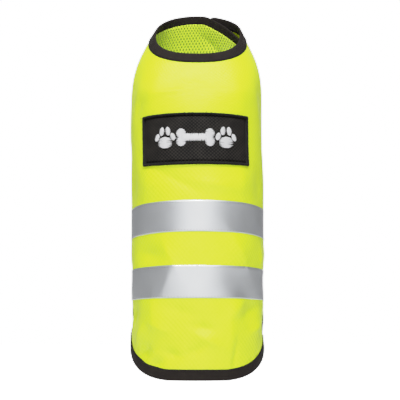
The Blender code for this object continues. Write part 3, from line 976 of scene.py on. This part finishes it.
def patch_lift(pattern):
    """The badge's height over the form: rolled border, groove and field."""
    edge = from_patch_edge(pattern)
    half = PATCH_ROLL / 2
    roll = ROLL_HEIGHT * np.sqrt(np.clip(1 - ((edge - half) / half) ** 2, 0, 1))
    field = PATCH_FIELD * smooth((edge - PATCH_TRENCH) / PATCH_RISE)
    return TOP_OF_CLOTH + np.maximum(np.maximum(roll, field), PATCH_FLOOR)


def close_lines(length):
    """Places along a side of the badge, closer together near both its ends."""
    even = np.arange(EVEN_FROM, length - EVEN_STOP, PATCH_STEP)
    near_end = np.concatenate([EDGE_LINES, even])
    return np.unique(np.concatenate([near_end, length - near_end]))


def patch_grid():
    """Pattern points and faces of the badge."""
    s = close_lines(2 * PATCH_HALF) + PATCH_MIDDLE - PATCH_HALF
    h = close_lines(PATCH_HIGH - PATCH_LOW) + PATCH_LOW
    pattern = (s[None, :] + 1j * h[:, None]).ravel()
    wide = len(s)
    faces = [
        (j * wide + i, j * wide + i + 1, (j + 1) * wide + i + 1, (j + 1) * wide + i)
        for j in range(len(h) - 1)
        for i in range(wide - 1)
    ]
    return pattern, faces


def border_threads(rng):
    """The threads wound over the badge's border: paths from its outer edge inwards, and lifts."""
    left, right = PATCH_MIDDLE - PATCH_HALF, PATCH_MIDDLE + PATCH_HALF
    corners = [
        complex(left, PATCH_LOW),
        complex(right, PATCH_LOW),
        complex(right, PATCH_HIGH),
        complex(left, PATCH_HIGH),
    ]
    share = np.linspace(0, 1, THREAD_POINTS)
    paths = []
    for here, after in zip(corners, corners[1:] + corners[:1]):
        way = (after - here) / abs(after - here)
        along = np.arange(PATCH_ROLL / 2, abs(after - here) - PATCH_ROLL / 2, BORDER_PITCH)
        along = along + rng.normal(0, BORDER_SHIFT, len(along))
        start = -BORDER_OVERHANG + rng.normal(0, BORDER_FRAY, len(along))
        across = start[:, None] + share * BORDER_REACH
        paths.append(here + way * (along[:, None] + BORDER_LEAN * share + 1j * across))
    paths = np.concatenate(paths)
    lifts = TOP_OF_CLOTH + BORDER_LIFT + ROLL_HEIGHT * np.sin(np.pi * share) ** BORDER_ROUND
    return paths, lifts + rng.normal(0, BORDER_UNEVEN, (len(paths), 1))


def add_motifs(rng, white):
    """The satin-stitched paw, bone and paw."""
    paths, share = satin_threads(paw(-MOTIF_STEP) + bone(0.0) + paw(MOTIF_STEP), rng)
    lifts = FIELD_TOP + SATIN_LIFT + SATIN_CROWN * (1 - share**2)
    lifts = lifts + rng.normal(0, SATIN_UNEVEN, (len(paths), 1))
    return rods("badge_embroidery", bowed(paths), lifts, SATIN_RADIUS, white)


def add_travels(white):
    """The white threads from motif to motif."""
    share = np.linspace(0, 1, LOOSE_POINTS)
    sag = 1j * TRAVEL_SAG * np.sin(np.pi * share)
    paths = [MOTIFS_MIDDLE + a * (1 - share) + b * share - sag for a, b in TRAVELS]
    lifts = np.full((len(paths), len(share)), FIELD_TOP + TRAVEL_LIFT)
    return rods("badge_travel_threads", bowed(np.array(paths)), lifts, TRAVEL_RADIUS, white)


def add_fibres(black):
    """The stray fibres off the badge's border."""
    share = np.linspace(0, 1, LOOSE_POINTS)
    paths = [fibre.start + fibre.reach * share + fibre.curl * share**2 for fibre in FIBRES]
    level = TOP_OF_CLOTH + FIBRE_LIFT + FIBRE_ARCH * np.sin(np.pi * share)
    return rods("badge_fibres", np.array(paths), np.tile(level, (len(paths), 1)), FIBRE_RADIUS, black)


def badge(cloth, white, black):
    """The badge, and all the threads on it."""
    pattern, faces = patch_grid()
    points = wrap(bowed(pattern), patch_lift(pattern))
    patch = make_object("badge", points, faces, cloth, pattern)
    rng = np.random.default_rng(SEED)
    motifs = add_motifs(rng, white)
    paths, lifts = border_threads(rng)
    border = rods("badge_border", bowed(paths), lifts, BORDER_RADIUS, black)
    return patch, [motifs, border, add_travels(white), add_fibres(black)]


# The vest.

# What each sheet was cut to before sewing, in metres, and its area where it isn't a rectangle.
Cut = namedtuple("Cut", "width length area")
CUTS = {
    "back_panel_cloth": Cut(0.260, 0.343, 0.0778),
    "chest_wing_left_cloth": Cut(0.174, 0.100, 0.0144),
    "chest_wing_right_cloth": Cut(0.067, 0.105, 0.0061),
    "belly_wing_left_cloth": Cut(0.141, 0.082, 0.0109),
    "belly_wing_right_cloth": Cut(0.063, 0.082, 0.0050),
    "throat_mesh": Cut(0.201, 0.085, 0.0149),
    "neck_binding_tape": Cut(0.386, 0.020, None),
    "hem_binding_tape": Cut(0.570, 0.020, None),
    "leg_binding_left_tape": Cut(0.466, 0.020, None),
    "leg_binding_right_tape": Cut(0.341, 0.020, None),
    "tape_front_silver": Cut(0.386, 0.029, None),
    "tape_rear_silver": Cut(0.236, 0.029, None),
    "badge": Cut(0.114, 0.053, None),
    "chest_hook_strip": Cut(0.026, 0.053, None),
    "chest_loop_strip": Cut(0.026, 0.051, None),
    "belly_hook_strip": Cut(0.026, 0.051, None),
    "belly_loop_strip": Cut(0.026, 0.049, None),
}
LEGS = (BELLY_FRONT + CHEST_REAR) / 2  # half way between the belly's wings and the chest's
SEAM_GAP = 0.2
LINING_TUCK = 1.0  # how far the lining runs under the binding
BINDING_SEAM = 1.3  # from the binding's inner edge to its stitching
TAPE_SEAM = 1.6  # from a reflective band's long edges to its stitching
TAPE_SEAM_END = 1.0  # and from its ends
TAPE_CLEAR = 0.4  # between a reflective band's end and the binding
SIDES = (("right", 1), ("left", -1))
Band = namedtuple("Band", "name low left_most right_most")
BANDS = (
    Band("tape_rear", TAPE_REAR_LOW, HEM_REACH, HEM_REACH),
    Band("tape_front", TAPE_FRONT_LOW, TAPE_FRONT_LEFT, BELLY_END_RIGHT),
)


def dressed(obj, slot, *nodes):
    """A piece that rides on the vest, takes a material slot and stands for solids."""
    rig.ride(obj, "root")
    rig.slot(obj, slot)
    if nodes:
        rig.replaces(obj, *nodes)
    return obj


def declare(obj, held, rests_on=(), sewn_on=()):
    """Says what a sheet of cloth was cut to and how it is held."""
    cut = CUTS[obj.name]
    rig.sheet(obj, (cut.width, cut.length), held, rests_on, cut.area, sewn_on)


def panel_outlines(outline):
    """The outline of each cloth panel, by its solid's name."""
    seam = SEAM - SEAM_GAP / 2
    panels = {"back_panel": clip(clip(outline, ("s", seam), -1), ("s", -seam), 1)}
    for name, side in SIDES:
        for part, end in (("chest", 1), ("belly", -1)):
            half = clip(outline, ("h", LEGS), end)
            panels[f"{part}_wing_{name}"] = clip(half, ("s", side * (seam + SEAM_GAP)), side)
    return panels


def add_panels(outline, cloth):
    """The fluorescent cloth; each right wing lies on the left one's end."""
    for name, panel in panel_outlines(outline).items():
        obj = lay(f"{name}_cloth", panel, OUTER_FACE, CLOTH, cloth)
        dressed(obj, "hi_vis_cloth", name)
        under = name.replace("wing_right", "wing_left")
        declare(obj, "draped", [f"{under}_cloth"] if under != name else ())


def add_lining(outline, mesh_cloth):
    """The mesh inside the throat."""
    lined = clip(drawn_in(outline, BINDING_INSIDE - LINING_TUCK), ("h", LEGS), 1)
    lined = clip(lined, ("s", -LINING_REACH), -1)
    obj = lay("throat_mesh", lined, -TOP_OF_CLOTH, LINING_THICK, mesh_cloth)
    dressed(obj, "mesh_lining", "throat_lining")
    declare(obj, "draped", ["chest_wing_left_cloth"])


def add_bindings(outline, joins, black, black_thread):
    """Folded tape round every free edge, with its stitching."""
    names = ("leg_binding_right", "neck_binding", "leg_binding_left", "hem_binding")
    stitch_line = drawn_in(outline, BINDING_OUTSIDE - BINDING_SEAM)
    top = TOP_OF_CLOTH + BINDING_THICK
    for name, start, end in zip(names, joins, joins[1:] + joins[:1]):
        stations = stations_between(start, end, len(outline))
        tape = dressed(binding(f"{name}_tape", outline, stations, black), "binding_tape", name)
        line = stitch_line[stations]
        sewn = stitches(f"{name}_stitching", line, top, BINDING_STITCH, black_thread)
        declare(tape, "folded", ["back_panel_cloth"], [dressed(sewn, "binding_tape")])


def add_tape(band, limit, silver, grey_thread):
    """A reflective band that ends at an outline, or short of it, and its two rows of stitches."""

    def left(h):
        return crossing(limit, h, -1, band.left_most)

    def right(h):
        return crossing(limit, h, 1, band.right_most)

    top = TOP_OF_CLOTH + TAPE_THICK
    high = band.low + TAPE_WIDTH
    shape = strip_outline(band.low, high, left, right)
    tape = lay(f"{band.name}_silver", shape, top, TAPE_THICK, silver)
    dressed(tape, "reflective_tape", band.name)
    sewn = []
    for edge, h in (("low", band.low + TAPE_SEAM), ("high", high - TAPE_SEAM)):
        start, end = left(h) + TAPE_SEAM_END, right(h) - TAPE_SEAM_END
        line = np.array(steps(complex(start, h), complex(end, h)))
        row = stitches(f"{band.name}_{edge}_stitching", line, top, TAPE_STITCH, grey_thread)
        sewn.append(dressed(row, "reflective_tape"))
    declare(tape, "laid", ["back_panel_cloth"], sewn)


def add_closures(closure):
    """Touch-and-close strips: hooks inside each right wing, loops outside each left one."""
    kinds = (
        ("hook", "right", 0.0, -TOP_OF_CLOTH),
        ("loop", "left", -GIRTH, TOP_OF_CLOTH + CLOSURE_THICK),
    )
    for part, (low, high) in (("chest", CHEST_CLOSURE), ("belly", BELLY_CLOSURE)):
        for kind, wing, shift, lift in kinds:
            shape = rectangle(CLOSURE_LEFT + shift, CLOSURE_RIGHT + shift, low, high)
            obj = lay(f"{part}_{kind}_strip", shape, lift, CLOSURE_THICK, closure)
            dressed(obj, "hook_and_loop", f"{part}_{kind}")
            declare(obj, "laid", [f"{part}_wing_{wing}_cloth"])


def vest():
    """Every piece of the vest, on the solid that it stands for."""
    outline, joins = body_outline()
    black_thread = thread(
        "black_thread", (0.012, 0.011, 0.011), roughness=0.6, gloss=0.2, sheen=0.02
    )
    grey_thread = thread("grey_thread", (0.33, 0.33, 0.33))
    white_thread = thread("white_thread", (0.78, 0.78, 0.8), roughness=0.45, sheen=0.4)
    add_panels(outline, hi_vis_cloth())
    add_lining(outline, mesh_lining())
    add_bindings(outline, joins, binding_tape(), black_thread)
    silver = reflective_tape()
    limit = drawn_in(outline, BINDING_OUTSIDE + TAPE_CLEAR)
    for band in BANDS:
        add_tape(band, limit, silver, grey_thread)
    patch, threads = badge(patch_cloth(), white_thread, black_thread)
    dressed(patch, "patch_cloth", "patch")
    sewn = [dressed(obj, "patch_cloth") for obj in threads]
    declare(patch, "laid", ["back_panel_cloth"], sewn)
    add_closures(closure_tape())


# The stage.

# How the photograph answers to light: scene light and what shows, both linear.
Tone = namedtuple("Tone", "light shown")
RESPONSE = (
    Tone(0.0, 0.0),
    Tone(0.2, 0.2),
    Tone(0.4, 0.395),
    Tone(0.52, 0.505),
    Tone(0.62, 0.585),
    Tone(0.7, 0.64),
    Tone(0.8, 0.695),
    Tone(0.9, 0.74),
    Tone(1.0, 0.77),
    Tone(1.15, 0.795),
    Tone(1.35, 0.812),
    Tone(1.6, 0.825),
    Tone(2.0, 0.87),
    Tone(2.5, 1.0),
)
WHITE = RESPONSE[-1].light

# Each pair is how bright a thing is seen, and the light that it gives.
FLOOR_GLOW = (0.95 * WHITE, 0.1)
SURROUND_GLOW = (WHITE, 0.25)
FLOOR_REACH = 4.0
FLOOR_HEIGHT = -0.2

# Square soft lights, all aimed at LIT_MIDDLE.
Light = namedtuple("Light", "name place size power")
LIGHTS = (
    Light("front_light", (0, -1.3, -0.1), 1.2, 10.2),
    Light("back_light", (0, 1.3, 0.3), 1.2, 6.0),
    Light("top_light", (-0.03, -0.58, 1.02), 0.3, 14.6),
)
LIT_MIDDLE = (0, 0, 0.03)

# The camera looks up a little, from below the vest's middle.
CAMERA_PLACE = (0.0025, -1.0, -0.112)
CAMERA_RISE = 7.17  # degrees
CAMERA_LENS = 90.9
CAMERA_SENSOR = 36


def film_response(settings):
    """Gives the render the soft highlights of RESPONSE."""
    settings.view_transform = "Standard"
    settings.use_curve_mapping = True
    mapping = settings.curve_mapping
    mapping.white_level = (WHITE, WHITE, WHITE)
    all_channels = mapping.curves[3]
    all_channels.points[-1].location = (1, 1)
    for tone in RESPONSE[1:-1]:
        all_channels.points.new(tone.light / WHITE, tone.shown)
    mapping.update()


def area_light(name, place, size, power):
    """A square soft light aimed at LIT_MIDDLE."""
    data = bpy.data.lights.new(name, "AREA")
    data.size = size
    data.energy = power
    light = add_to_scene(name, data)
    x, y, z = np.array(LIT_MIDDLE) - np.array(place)
    light.visible_camera = False
    light.location = place
    light.rotation_euler = (math.atan2(math.hypot(x, y), -z), 0, math.atan2(-x, y))


def seen_strength(tree, seen, lighting):
    """A strength that is one value for what is seen and another for the light that it gives."""
    path = tree.nodes.new("ShaderNodeLightPath")
    strength = tree.nodes.new("ShaderNodeMix")
    strength.inputs[2].default_value = lighting
    strength.inputs[3].default_value = seen
    tree.links.new(path.outputs["Is Camera Ray"], strength.inputs[0])
    return strength.outputs[0]


def pale_floor():
    """The floor's material."""
    material = bpy.data.materials.new("pale_floor")
    material.use_nodes = True
    tree = material.node_tree
    surface = tree.nodes["Principled BSDF"]
    surface.inputs["Base Color"].default_value = (0.9, 0.9, 0.9, 1)
    surface.inputs["Roughness"].default_value = 0.8
    surface.inputs["Emission Color"].default_value = (1, 1, 1, 1)
    tree.links.new(seen_strength(tree, *FLOOR_GLOW), surface.inputs["Emission Strength"])
    return material


def add_floor():
    """A wide flat floor."""
    mesh = bpy.data.meshes.new("floor")
    ways = ((-1, -1), (1, -1), (1, 1), (-1, 1))
    corners = [(x * FLOOR_REACH, y * FLOOR_REACH, FLOOR_HEIGHT) for x, y in ways]
    mesh.from_pydata(corners, [], [(0, 1, 2, 3)])
    mesh.materials.append(pale_floor())
    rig.stage(add_to_scene("floor", mesh))


def add_surround():
    """A white surround."""
    world = bpy.data.worlds.new("surround")
    bpy.context.scene.world = world
    world.use_nodes = True
    tree = world.node_tree
    background = tree.nodes["Background"]
    background.inputs["Color"].default_value = (1, 1, 1, 1)
    tree.links.new(seen_strength(tree, *SURROUND_GLOW), background.inputs["Strength"])


def add_camera():
    """The camera, at the photograph's viewing angle."""
    data = bpy.data.cameras.new("camera")
    data.sensor_width = CAMERA_SENSOR
    data.lens = CAMERA_LENS
    camera = add_to_scene("camera", data)
    camera.location = CAMERA_PLACE
    camera.rotation_euler = (math.radians(90 + CAMERA_RISE), 0, 0)
    bpy.context.scene.camera = camera


def studio():
    """The floor, the surround, the lights and the camera."""
    film_response(bpy.context.scene.view_settings)
    add_floor()
    add_surround()
    for light in LIGHTS:
        area_light(*light)
    add_camera()


vest()
studio()
shown_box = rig.bounds()
with open("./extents.json", "w") as file:
    boxes = {"solids": solid_box, "shown": shown_box}
    json.dump({name: [list(corner) for corner in box] for name, box in boxes.items()}, file)
